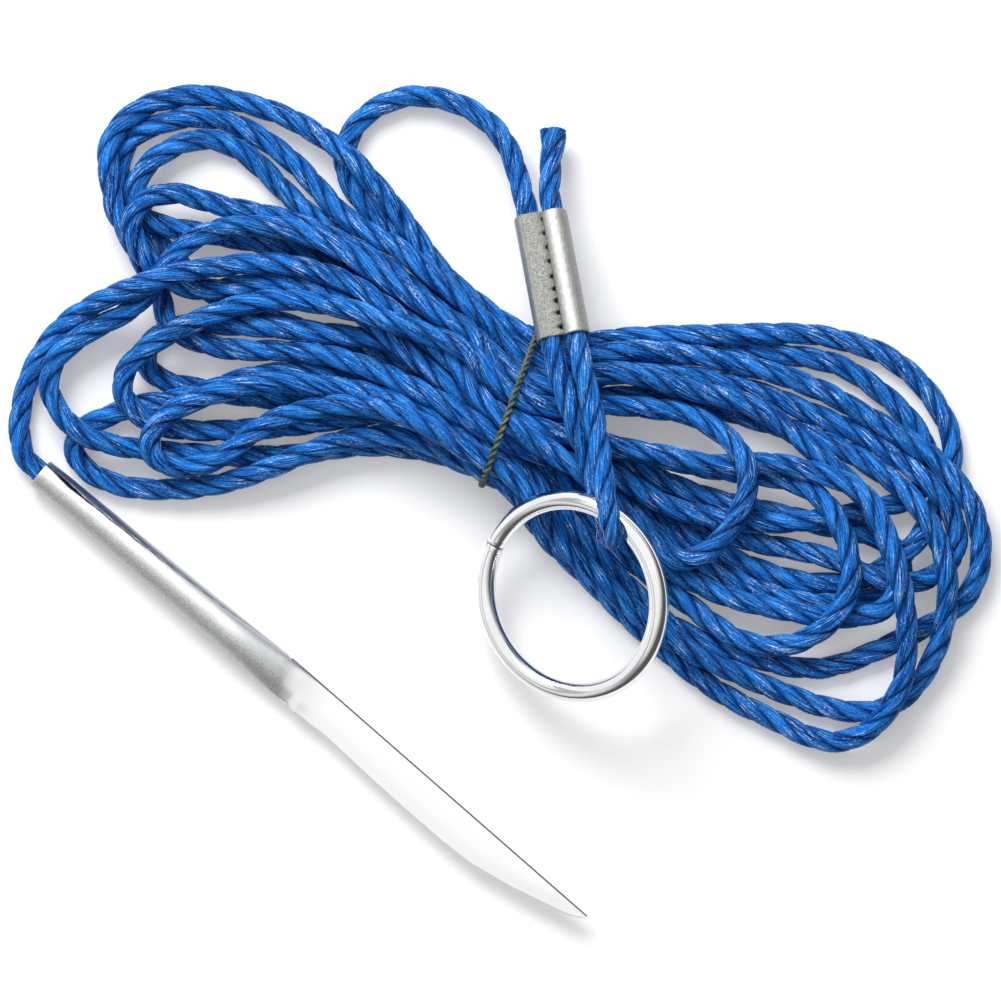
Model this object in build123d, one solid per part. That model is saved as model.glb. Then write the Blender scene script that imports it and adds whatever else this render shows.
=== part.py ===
from build123d import *
import os
from math import atan, ceil, cos, degrees, radians, sin, sqrt, tan

# Fish stringer lying flat: a rope wound into a tied hank, with a needle on one end and a ring in an eye
# on the other. Millimetres. The table is z = 0, x runs along the hank, and the origin is under the middle.

# Rope
rope_diameter = 3.4
layer_gap = 0.45                # clear height between two layers of the hank
waist_gap = 0.75                # clear width between runs at the waist
nest_gap = 1.8                  # clear width between loops of one nest
flat_depth = 0.5                # the hank's underside is pressed flat this deep
bore_clearance = 0.06           # between the rope and the metal crimped on it, each side
rest_clearance = 0.3            # between pieces that only lie on each other
eye_lift = 0.6                  # clear height of the eye over the runs of the hank
mouth_run = 4.0                 # straight rope outside the mouth of a metal piece
arc_share = 0.45                # share of a run that the arc at its end takes

# Waist of the hank, where the tie draws all the runs side by side
waist_x = 1.4
waist_y = 14.1
waist_angle = -20.0             # direction of the runs there, from +x
waist_half = 6.0                # half the length that the runs keep parallel
waist_slots = 6                 # runs side by side in one layer

# Loops at the two ends of the hank, one value for each layer from the table up: the way they fan out from
# the waist, how far out they reach full width, how far the innermost loop of the nest reaches and half its
# width, how much further each loop outside it reaches, and how far the ends of its runs and its tip sag
# where the layer below doesn't hold them up
left_fan = {
    "direction": [184.0, 145.0, 178.4, 187.0],
    "shoulder": [42.0, 48.0, 42.0, 40.0],
    "reach": [56.0, 61.0, 57.0, 53.0],
    "half_width": [4.7, 4.7, 4.7, 4.7],
    "reach_step": [9.5, 4.6, 10.5, 4.0],
    "run_sag": [0.0, 1.9, 1.9, 0.5],
    "tip_sag": [0.0, 3.85, 3.85, 1.0],
}
right_fan = {
    "direction": [-4.0, -19.0, -33.5, -22.0],
    "shoulder": [46.0, 44.0, 45.0, 29.5],
    "reach": [56.0, 65.4, 60.0, 38.5],
    "half_width": [4.7, 5.5, 6.4, 6.2],
    "reach_step": [4.6, 9.0, 8.5, 4.0],
    "run_sag": [0.0, 0.0, 0.0, 0.0],
    "tip_sag": [0.0, 0.0, 0.0, 0.0],
}

# Order in which the rope fills the slots of the waist (1 is the furthest in y, 6 the nearest): each layer
# spirals in or out, and the rope climbs to the next layer in the slot where its spiral ends
layer_order = [
    [("right", 1, 6), ("left", 6, 2), ("right", 2, 5), ("left", 5, 3), ("right", 3, 4)],
    [("left", 4, 3), ("right", 3, 5), ("left", 5, 2), ("right", 2, 6), ("left", 6, 1)],
    [("right", 1, 6), ("left", 6, 2), ("right", 2, 5), ("left", 5, 3), ("right", 3, 4)],
    [("left", 4, 3), ("right", 3, 2)],
]

# Tie round the waist
tie_diameter = 0.9
tie_bite = 0.24                 # clear width round it where it bites into the rope

# Ring: its plan place, the lean against the hank and the butt joint
ring_wire = 3.0
ring_inner_diameter = 26.2
ring_x = 10.65
ring_y = -14.1
ring_tilt = 30.0
ring_tilt_direction = 20.0      # the way it rises, from +x
ring_joint_gap = 0.2
ring_joint_angle = 219.0        # from the level axis of the ring
eye_angle = 147.0               # place of the rope's eye, from the same axis
eye_clearance = 0.5             # between the eye and the ring's wire
eye_spread = 1.5                # the strands over and under the wire lie this far to each side
run_over = 5.0                  # straight rope before the bend over the wire
run_under = 4.0                 # and after the bend under it

# Ferrule: the middle of its lower mouth in plan
ferrule_length = 20.0
ferrule_wall = 0.4
ferrule_x = 9.4
ferrule_y = 24.4
ferrule_turn = -79.5            # plan direction from the upper mouth to the lower one
ferrule_slope = 20.0
ferrule_seam = 0.5
ferrule_drop = 1.2              # how far its lower mouth lies below the crest of the eye
ferrule_waist = 0.84            # height between the barrels as a share of theirs

# Needle, from the middle of its mouth
needle_x = -69.2
needle_y = 4.4
needle_turn = -40.0
needle_length = 107.3
socket_length = 50.0
socket_wall = 0.6
socket_rear_radius = 3.05
socket_grip = 9.0               # length of rope held in the socket
seam_gap = 0.3
seam_turn = 35.0                # round the socket, from its upper side in plan
neck_length = 7.0               # where the round socket flattens into the blade
neck_spread = 0.35              # how far the flattened end stands out beyond the blade, each side
neck_floor = 2.0                # solid end of the hollow before the blade
blade_overlap = 1.0             # length of the blade inside the neck
blade_thickness = 1.0
blade_width = 5.9
blade_straight = 30.0           # length of the blade before its edge curves to the point
point_width = 0.8

# Sizes that follow
rope_radius = rope_diameter / 2
layer_step = rope_diameter + layer_gap
waist_step = rope_diameter + waist_gap
nest_step = rope_diameter + nest_gap
bore_radius = rope_radius + bore_clearance
ring_radius = (ring_inner_diameter + ring_wire) / 2
layer_heights = [rope_radius - flat_depth + layer_step * level for level in range(len(layer_order))]
upright = Vector(0, 0, 1)
table_size = 1000.0
parts = {}


def flat_direction(angle):
    return Vector(cos(radians(angle)), sin(radians(angle)), 0)


# Hank: stations are points with a direction, joined by pairs of tangent arcs

along = flat_direction(waist_angle)
across = flat_direction(waist_angle + 90)
waist = Vector(waist_x, waist_y, 0)


def waist_place(distance, slot, level):
    offset = ((waist_slots + 1) / 2 - slot) * waist_step
    return waist + along * distance + across * offset + upright * layer_heights[level]


def loop_stations(level, side, slot_out, slot_back):
    fan = right_fan if side == "right" else left_fan
    sign = 1 if side == "right" else -1
    turn = 1 if slot_out < slot_back else -1
    nest = (abs(slot_back - slot_out) + 1) // 2 - 1
    half = fan["half_width"][level] + nest * nest_step
    reach = fan["reach"][level] + nest * fan["reach_step"][level]
    outward = flat_direction(fan["direction"][level])
    sideways = upright.cross(outward) * (sign * turn)
    base = waist + upright * layer_heights[level]
    shoulder = base + outward * fan["shoulder"][level]
    centre = base + outward * (reach - half)
    run_end = centre - upright * fan["run_sag"][level]
    tip = centre + outward * half - upright * fan["tip_sag"][level]
    return [
        (waist_place(sign * waist_half, slot_out, level), along * sign),
        (shoulder + sideways * half, outward),
        (run_end + sideways * half, outward),
        (tip, -sideways),
        (run_end - sideways * half, -outward),
        (shoulder - sideways * half, -outward),
        (waist_place(sign * waist_half, slot_back, level), along * -sign),
    ]


def arc_from(start, direction, end):
    in_line = direction.cross((end - start).normalized()).length < 1e-6
    return Edge.make_line(start, end) if in_line else Edge.make_tangent_arc(start, direction, end)


def biarc(start, start_direction, end, end_direction):
    span = end - start
    both = start_direction + end_direction
    spread = 2 * (1 - start_direction.dot(end_direction))
    if spread > 1e-9:
        reach = (sqrt(span.dot(both) ** 2 + spread * span.dot(span)) - span.dot(both)) / spread
    else:
        reach = span.dot(span) / (4 * span.dot(end_direction))
    middle = (start + end + (start_direction - end_direction) * reach) * 0.5
    middle_direction = (end - end_direction * reach - start - start_direction * reach).normalized()
    return [arc_from(start, start_direction, middle), arc_from(middle, middle_direction, end)]


def joined(stations):
    edges = []
    for (start, start_direction), (end, end_direction) in zip(stations, stations[1:]):
        span = end - start
        if span.length < 1e-6:
            continue
        if span.cross(start_direction).length < 1e-6 and span.cross(end_direction).length < 1e-6:
            edges.append(Edge.make_line(start, end))
        else:
            edges += biarc(start, start_direction, end, end_direction)
    return edges


def tube(name, edges, radius):
    path = Wire(edges)
    section = Plane(origin=path.position_at(0), z_dir=path.tangent_at(0)) * Circle(radius)
    solid = sweep(section, path=path)
    share = solid.volume / (path.length * section.area)
    print(f"{name}: length {path.length:.1f} mm, volume {share:.4f} of section times length")
    return solid, path


def least_gap(path, diameter, spacing=0.8):
    # between points of the middle line that lie apart along it
    count = ceil(path.length / spacing)
    places = [path.position_at(step / count) for step in range(count + 1)]
    cell = 2 * diameter
    cells = {}
    for number, place in enumerate(places):
        cells.setdefault(tuple(int(value // cell) for value in place), []).append(number)
    apart = 3 * diameter / spacing
    offsets = [(i, j, k) for i in (-1, 0, 1) for j in (-1, 0, 1) for k in (-1, 0, 1)]
    least = cell
    for key, members in cells.items():
        near = [
            number
            for offset in offsets
            for number in cells.get(tuple(a + b for a, b in zip(key, offset)), [])
        ]
        for one in members:
            for other in near:
                if other - one > apart:
                    least = min(least, (places[one] - places[other]).length)
    return least - diameter


# Free stretches of rope: routes of straight runs joined by the largest arcs that fit


def cord_edges(name, points):
    radii = []
    for before, corner, after in zip(points, points[1:], points[2:]):
        run = min((corner - before).length, (after - corner).length)
        turn = (corner - before).get_angle(after - corner)
        radii.append(arc_share * run / tan(radians(turn / 2)))
    print(f"{name}: radii", [round(radius, 1) for radius in radii])
    return FilletPolyline(*points, radius=radii).edges()


table_height = rope_radius - flat_depth
top_height = layer_heights[-1]
bow_end = Vector(-14.5, 38.6, table_height)
bow_heading = Vector(0.62, -0.785, 0).normalized()
lead_start = Vector(-41.5, 34.6, top_height)
lead_heading = Vector(-7.0, -0.3, 0).normalized()
lead_run = 7.0                  # straight rope where the lead leaves the hank

stations = [(bow_end, bow_heading), (waist_place(-waist_half, 1, 0), along)]
for level, order in enumerate(layer_order):
    for side, slot_out, slot_back in order:
        stations += loop_stations(level, side, slot_out, slot_back)
last_slot = layer_order[-1][-1][-1]
stations += [(waist_place(-waist_half, last_slot, len(layer_order) - 1), -along), (lead_start, lead_heading)]
hank, hank_path = tube("rope_hank", joined(stations), rope_radius)
print(f"rope_hank: least gap to itself {least_gap(hank_path, rope_diameter):.2f} mm")

# The tie lies on the convex outline of the runs at the waist, and bites into those it presses on the table

tie_radius = tie_diameter / 2
tie_offset = rope_radius + rest_clearance + tie_radius
tie_plane = Plane(origin=waist, x_dir=across, z_dir=along)
top_slots = sorted({slot for loop in layer_order[-1] for slot in loop[1:]})


def slot_place(slot, height):
    return ((waist_slots + 1) / 2 - slot) * waist_step, height


tie_corners = [
    slot_place(1, tie_radius + tie_offset),
    slot_place(1, layer_heights[-2]),
    slot_place(top_slots[0], top_height),
    slot_place(top_slots[-1], top_height),
    slot_place(waist_slots, layer_heights[-2]),
    slot_place(waist_slots, tie_radius + tie_offset),
]
tie_runs = []
for (x0, z0), (x1, z1) in zip(tie_corners, tie_corners[1:] + tie_corners[:1]):
    run = Vector(x1 - x0, z1 - z0).normalized()
    outward = Vector(run.Y, -run.X) * tie_offset
    tie_runs.append((Vector(x0, z0) + outward, Vector(x1, z1) + outward, run))
tie_edges = []
for (start, end, run), (next_start, _, _) in zip(tie_runs, tie_runs[1:] + tie_runs[:1]):
    tie_edges += [Edge.make_line(start, end), Edge.make_tangent_arc(end, run, next_start)]
tie_path = tie_plane * Wire(tie_edges)
tie_start = Plane(origin=tie_path.position_at(0), z_dir=tie_path.tangent_at(0))
parts["hank_tie"] = sweep(tie_start * Circle(tie_radius), path=tie_path)

tie_channel = sweep(tie_start * Circle(tie_radius + tie_bite), path=tie_path)
below_table = Pos(0, 0, -rope_diameter) * Box(table_size, table_size, 2 * rope_diameter)
parts["rope_hank"] = hank - [below_table, tie_channel]

# Ring, placed so that the strand under its wire clears the third layer of the hank

level_axis = flat_direction(ring_tilt_direction - 90)
rise_axis = flat_direction(ring_tilt_direction) * cos(radians(ring_tilt))
rise_axis += upright * sin(radians(ring_tilt))


def on_ring(angle):
    return level_axis * cos(radians(angle)) + rise_axis * sin(radians(angle))


wire_direction = on_ring(eye_angle + 90)
over_wire = (upright - wire_direction * upright.dot(wire_direction)).normalized()
into_ring = over_wire.cross(wire_direction)
into_ring = into_ring if into_ring.dot(on_ring(eye_angle)) < 0 else -into_ring
eye_radius = ring_wire / 2 + eye_clearance + rope_radius
over_offset = over_wire * eye_radius - wire_direction * eye_spread
under_height = layer_heights[-2] + rope_diameter + eye_lift
eye_height = under_height + over_offset.Z
ring_centre = Vector(ring_x, ring_y, eye_height - ring_radius * on_ring(eye_angle).Z)
eye_place = ring_centre + on_ring(eye_angle) * ring_radius
ring_plane = Plane(origin=ring_centre, x_dir=level_axis, z_dir=level_axis.cross(rise_axis))
joint_box = Box(2 * ring_wire, ring_joint_gap, 2 * ring_wire)
joint_slot = Rot(0, 0, ring_joint_angle) * Pos(ring_radius, 0, 0) * joint_box
parts["ring"] = ring_plane * (Torus(ring_radius, ring_wire / 2) - joint_slot)

# Ferrule: two barrels side by side with a rolled seam between them

crest_height = top_height + rope_diameter + eye_lift
barrel_radius = bore_radius + ferrule_wall
barrel_offset = bore_radius + ferrule_wall / 4
ferrule_heading = flat_direction(ferrule_turn) * cos(radians(ferrule_slope))
ferrule_heading += upright * sin(radians(ferrule_slope))
ferrule_side = flat_direction(ferrule_turn + 90)
lower_mouth = Vector(ferrule_x, ferrule_y, crest_height - ferrule_drop)
upper_mouth = lower_mouth - ferrule_heading * ferrule_length
barrels = [Pos(side * barrel_offset, 0) * Circle(barrel_radius) for side in (-1, 1)]
bores = [Pos(side * barrel_offset, 0) * Circle(bore_radius) for side in (-1, 1)]
seam_depth = barrel_radius - ferrule_wall
seam = Pos(0, barrel_radius - seam_depth / 2) * Rectangle(ferrule_seam, seam_depth)
waist_fill = Rectangle(2 * barrel_offset, 2 * barrel_radius * ferrule_waist)
profile = barrels[0] + barrels[1] + waist_fill - bores[0] - bores[1] - seam
ferrule_plane = Plane(origin=upper_mouth, x_dir=ferrule_side, z_dir=ferrule_heading)
parts["ferrule"] = extrude(ferrule_plane * profile, ferrule_length)

# Eye: from the free tail down one barrel, round the ring's wire and back up the other barrel

left_mouths = [mouth - ferrule_side * barrel_offset for mouth in (upper_mouth, lower_mouth)]
right_mouths = [mouth + ferrule_side * barrel_offset for mouth in (upper_mouth, lower_mouth)]
over_place = eye_place + over_offset
under_place = eye_place - over_offset
bight = into_ring * over_offset.length
tail_points = [Vector(8.0, 55.6, rope_radius + 2.6), right_mouths[0] - ferrule_heading * mouth_run]
eye_points = tail_points + [
    right_mouths[1] + ferrule_heading * mouth_run,
    Vector(13.4, 13.5, crest_height + 1.0),
    over_place - into_ring * run_over,
    over_place + bight,
    under_place + bight,
    under_place - into_ring * run_under,
    Vector(9.8, 12.0, crest_height + 0.4),
    left_mouths[1] + ferrule_heading * mouth_run,
    left_mouths[0],
]
parts["rope_eye"], eye_path = tube("rope_eye", cord_edges("rope_eye", eye_points), rope_radius)

# Bow: from the ferrule down to the table and under the upper loops into the hank

bow_points = [
    left_mouths[0],
    left_mouths[0] - ferrule_heading * mouth_run,
    Vector(1.0, 54.6, rope_radius + 1.6),
    Vector(-5.2, 59.9, table_height),
    Vector(-14.2, 61.7, table_height),
    Vector(-21.4, 58.0, table_height),
    Vector(-24.4, 51.8, table_height),
    Vector(-21.6, 45.6, table_height),
    bow_end - bow_heading * mouth_run,
    bow_end,
]
bow, bow_path = tube("rope_bow", cord_edges("rope_bow", bow_points), rope_radius)
parts["rope_bow"] = bow - below_table

# Needle: a rolled socket that flattens into a blade, built along x from its mouth and then laid on the table

mouth_radius = bore_radius + socket_wall
cone_lean = degrees(atan((socket_rear_radius - mouth_radius) / socket_length))
neck_end = socket_length + neck_length
across_x = Plane(origin=(0, 0, 0), x_dir=(0, 1, 0), z_dir=(1, 0, 0))


def round_loft(start, start_sizes, end, end_sizes):
    sections = ((start, start_sizes), (end, end_sizes))
    return loft([across_x.offset(x) * Ellipse(*sizes) for x, sizes in sections])


rear = socket_rear_radius
flat_half = blade_width / 2 + neck_spread
outside = round_loft(0, (mouth_radius, mouth_radius), socket_length, (rear, rear))
outside += round_loft(socket_length, (rear, rear), neck_end, (flat_half, blade_thickness / 2))
bore_rear = rear - socket_wall
hollow = round_loft(0, (bore_radius, bore_radius), socket_length, (bore_rear, bore_rear))
hollow_end = (flat_half - 2 * socket_wall, blade_thickness / 8)
hollow += round_loft(socket_length, (bore_rear, bore_rear), neck_end - neck_floor, hollow_end)
seam_cut = Pos(socket_length / 2, rear, 0) * Box(socket_length, rear, seam_gap)
seam_cut = Rot(seam_turn, 0, 0) * seam_cut

spine = rear
belly = spine - blade_width
blade_root = neck_end - blade_overlap
curve_start = (neck_end + blade_straight, belly)
blade_outline = [
    Edge.make_line((blade_root, belly), curve_start),
    Edge.make_tangent_arc(curve_start, (1, 0, 0), (needle_length, spine - point_width)),
    Edge.make_line((needle_length, spine - point_width), (needle_length - point_width, spine)),
    Edge.make_line((needle_length - point_width, spine), (blade_root, spine)),
    Edge.make_line((blade_root, spine), (blade_root, belly)),
]
blade = extrude(Pos(0, 0, -blade_thickness / 2) * make_face(blade_outline), blade_thickness)
needle = outside - hollow - seam_cut + blade
needle_heading = flat_direction(needle_turn) * cos(radians(cone_lean))
needle_heading += upright * sin(radians(cone_lean))
needle_mouth = Vector(needle_x, needle_y, mouth_radius)
needle_side = flat_direction(needle_turn + 90)
needle_plane = Plane(origin=needle_mouth, x_dir=needle_heading, z_dir=needle_heading.cross(needle_side))
parts["needle"] = needle_plane * needle
grip = Cylinder(rope_radius, socket_grip, rotation=(0, 90, 0), align=(Align.CENTER, Align.CENTER, Align.MIN))
parts["rope_end"] = needle_plane * grip

# Lead: from the top of the hank down to the table and into the needle's mouth

lead_points = [
    lead_start,
    lead_start + lead_heading * lead_run,
    Vector(-57.6, 31.4, top_height - 1.6),
    Vector(-65.0, 27.0, rope_radius + 5.4),
    Vector(-70.3, 20.4, rope_radius + 2.0),
    Vector(-72.4, 13.2, rope_radius + 0.5),
    needle_mouth - needle_heading * mouth_run,
    needle_mouth,
]
parts["rope_lead"], lead_path = tube("rope_lead", cord_edges("rope_lead", lead_points), rope_radius)

whole_length = sum(path.length for path in (hank_path, eye_path, bow_path, lead_path)) + socket_grip
print(f"whole rope {whole_length:.0f} mm")
os.makedirs("parts", exist_ok=True)
for name, solid in parts.items():
    export_step(solid, f"parts/{name}.step")
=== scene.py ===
# Fish stringer: a hank of blue twisted rope with a ring, a ferrule and a needle.
# Lengths are in millimetres until a mesh is made, and in metres from there on.
import math

import bpy
import numpy as np
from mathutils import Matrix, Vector


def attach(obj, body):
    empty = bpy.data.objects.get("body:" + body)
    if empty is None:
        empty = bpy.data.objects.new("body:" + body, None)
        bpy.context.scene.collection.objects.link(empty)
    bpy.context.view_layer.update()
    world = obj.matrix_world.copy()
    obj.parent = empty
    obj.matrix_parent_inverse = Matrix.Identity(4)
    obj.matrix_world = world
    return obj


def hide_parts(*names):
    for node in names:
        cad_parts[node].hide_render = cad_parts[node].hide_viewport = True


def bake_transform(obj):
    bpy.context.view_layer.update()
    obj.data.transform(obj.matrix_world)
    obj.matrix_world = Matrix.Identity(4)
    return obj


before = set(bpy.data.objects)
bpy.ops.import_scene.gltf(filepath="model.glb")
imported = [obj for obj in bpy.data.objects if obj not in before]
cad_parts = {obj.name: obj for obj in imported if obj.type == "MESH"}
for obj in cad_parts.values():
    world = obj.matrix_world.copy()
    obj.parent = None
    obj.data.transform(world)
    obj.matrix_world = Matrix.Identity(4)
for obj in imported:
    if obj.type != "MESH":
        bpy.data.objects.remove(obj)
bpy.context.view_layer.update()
mm = 0.001
print("frame loaded with", len(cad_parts), "nodes")


class Value:
    # one output of a shader node, with arithmetic that adds Math nodes
    def __init__(self, shade, socket):
        self.shade = shade
        self.socket = socket

    def join(self, operation, other, swapped=False):
        first, second = (other, self) if swapped else (self, other)
        return self.shade.node("Math", {"operation": operation}, {0: first, 1: second})

    def __add__(self, other):
        return self.join("ADD", other)

    def __radd__(self, other):
        return self.join("ADD", other, True)

    def __sub__(self, other):
        return self.join("SUBTRACT", other)

    def __rsub__(self, other):
        return self.join("SUBTRACT", other, True)

    def __mul__(self, other):
        return self.join("MULTIPLY", other)

    def __rmul__(self, other):
        return self.join("MULTIPLY", other, True)


class Shade:
    # a node tree, of a new material unless one is given
    def __init__(self, name, tree=None):
        if tree is None:
            self.material = bpy.data.materials.new(name)
            self.material.use_nodes = True
            tree = self.material.node_tree
        self.tree = tree
        tree.nodes.clear()

    def node(self, kind, settings=None, sockets=None, out=0):
        made = self.tree.nodes.new("ShaderNode" + kind)
        for key, value in (settings or {}).items():
            setattr(made, key, value)
        for key, value in (sockets or {}).items():
            if isinstance(value, Value):
                self.tree.links.new(value.socket, made.inputs[key])
            else:
                made.inputs[key].default_value = value
        return Value(self, made.outputs[out]) if len(made.outputs) else made

    def mix(self, factor, first, second):
        sockets = {0: factor}
        for key, colour in ((6, first), (7, second)):
            sockets[key] = colour if isinstance(colour, Value) else (*colour, 1.0)
        return self.node("Mix", {"data_type": "RGBA"}, sockets, 2)

    def ramp(self, value, low, high):
        # 0 below low, 1 above high
        return self.node("MapRange", {"clamp": True}, {0: value, 1: low, 2: high, 3: 0.0, 4: 1.0})

    def noise(self, vector, scale, detail=2.0, roughness=0.5):
        # scale is one number, or one for each axis
        if isinstance(scale, tuple):
            vector = self.node("VectorMath", {"operation": "MULTIPLY"}, {0: vector, 1: scale})
            scale = 1.0
        sockets = {"Vector": vector, "Scale": scale, "Detail": detail, "Roughness": roughness}
        return self.node("TexNoise", {}, sockets)

    def attribute(self, name):
        return self.node("Attribute", {"attribute_name": name}, {}, "Vector")

    def coordinate(self, kind):
        return self.node("TexCoord", {}, {}, kind)

    def axis(self, vector, name):
        return self.node("SeparateXYZ", {}, {0: vector}, name)

    def ray(self, kind):
        return self.node("LightPath", {}, {}, kind)

    def bump(self, height, strength, distance):
        return self.node("Bump", {}, {"Strength": strength, "Distance": distance, "Height": height})

    def finish(self, colour, rough, bump=None, metallic=0.0, specular=0.5):
        sockets = {"Base Color": colour, "Roughness": rough, "Metallic": metallic}
        sockets["Specular IOR Level"] = specular
        if bump:
            sockets["Normal"] = bump
        surface = self.node("BsdfPrincipled", {}, sockets)
        self.node("OutputMaterial", {}, {"Surface": surface})
        return self.material


# Camera straight above, as in the photograph: 0.15 mm to each of 1001 pixels
view = {
    "width": 150.15,
    "height": 1400.0,
    "focus": 6.0,  # height of the plane that the width is measured in
    "shiftUp": 0.22,
    "sensor": 36.0,
    "clipEnd": 100.0,  # in metres
}


def makeCamera():
    data = bpy.data.cameras.new("viewCamera")
    data.sensor_width = view["sensor"]
    data.lens = data.sensor_width * (view["height"] - view["focus"]) / view["width"]
    data.clip_end = view["clipEnd"]
    camera = bpy.data.objects.new("viewCamera", data)
    camera.location = (0.0, view["shiftUp"] * mm, view["height"] * mm)
    bpy.context.scene.collection.objects.link(camera)
    bpy.context.scene.camera = camera


makeCamera()
bpy.context.scene.view_settings.view_transform = "Standard"
print("camera placed")

# Rope: three strands laid right-handed
rope = {
    "diameter": 3.4,
    "lay": 14.4,  # length of one turn of a strand
    "plyOffset": 0.80,
    "plyWide": 1.13,  # half width and half height of a strand
    "plyHigh": 0.89,
    "plyApart": 7.0,  # between the strands in the noise, so that no two look alike
    "sides": 14,
    "step": 0.75,
    "detail": 6,  # points of the curve between two points of the settled route
    "sharp": 60.0,
    "wander": 0.07,  # unevenness of the strands
    "wanderStep": 2.5,
    "wanderReach": 4000.0,
    "wanderSeed": 3,
    "dark": (0.0003, 0.022, 0.16),
    "light": (0.007, 0.20, 0.76),
    # painted highlight on the fine fibres
    "paintedHighlight": (0.11, 0.46, 1.0),
    # painted glints: small white specks of reflected light
    "paintedGlint": (0.70, 0.85, 1.0),
    # painted shade in the gaps between the filaments
    "filamentGapShade": (0.0003, 0.010, 0.08),
    # painted shade in the grooves between the strands
    "groove": (0.0003, 0.010, 0.085),
    "specular": 0.07,
}
ropeRadius = rope["diameter"] / 2

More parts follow.
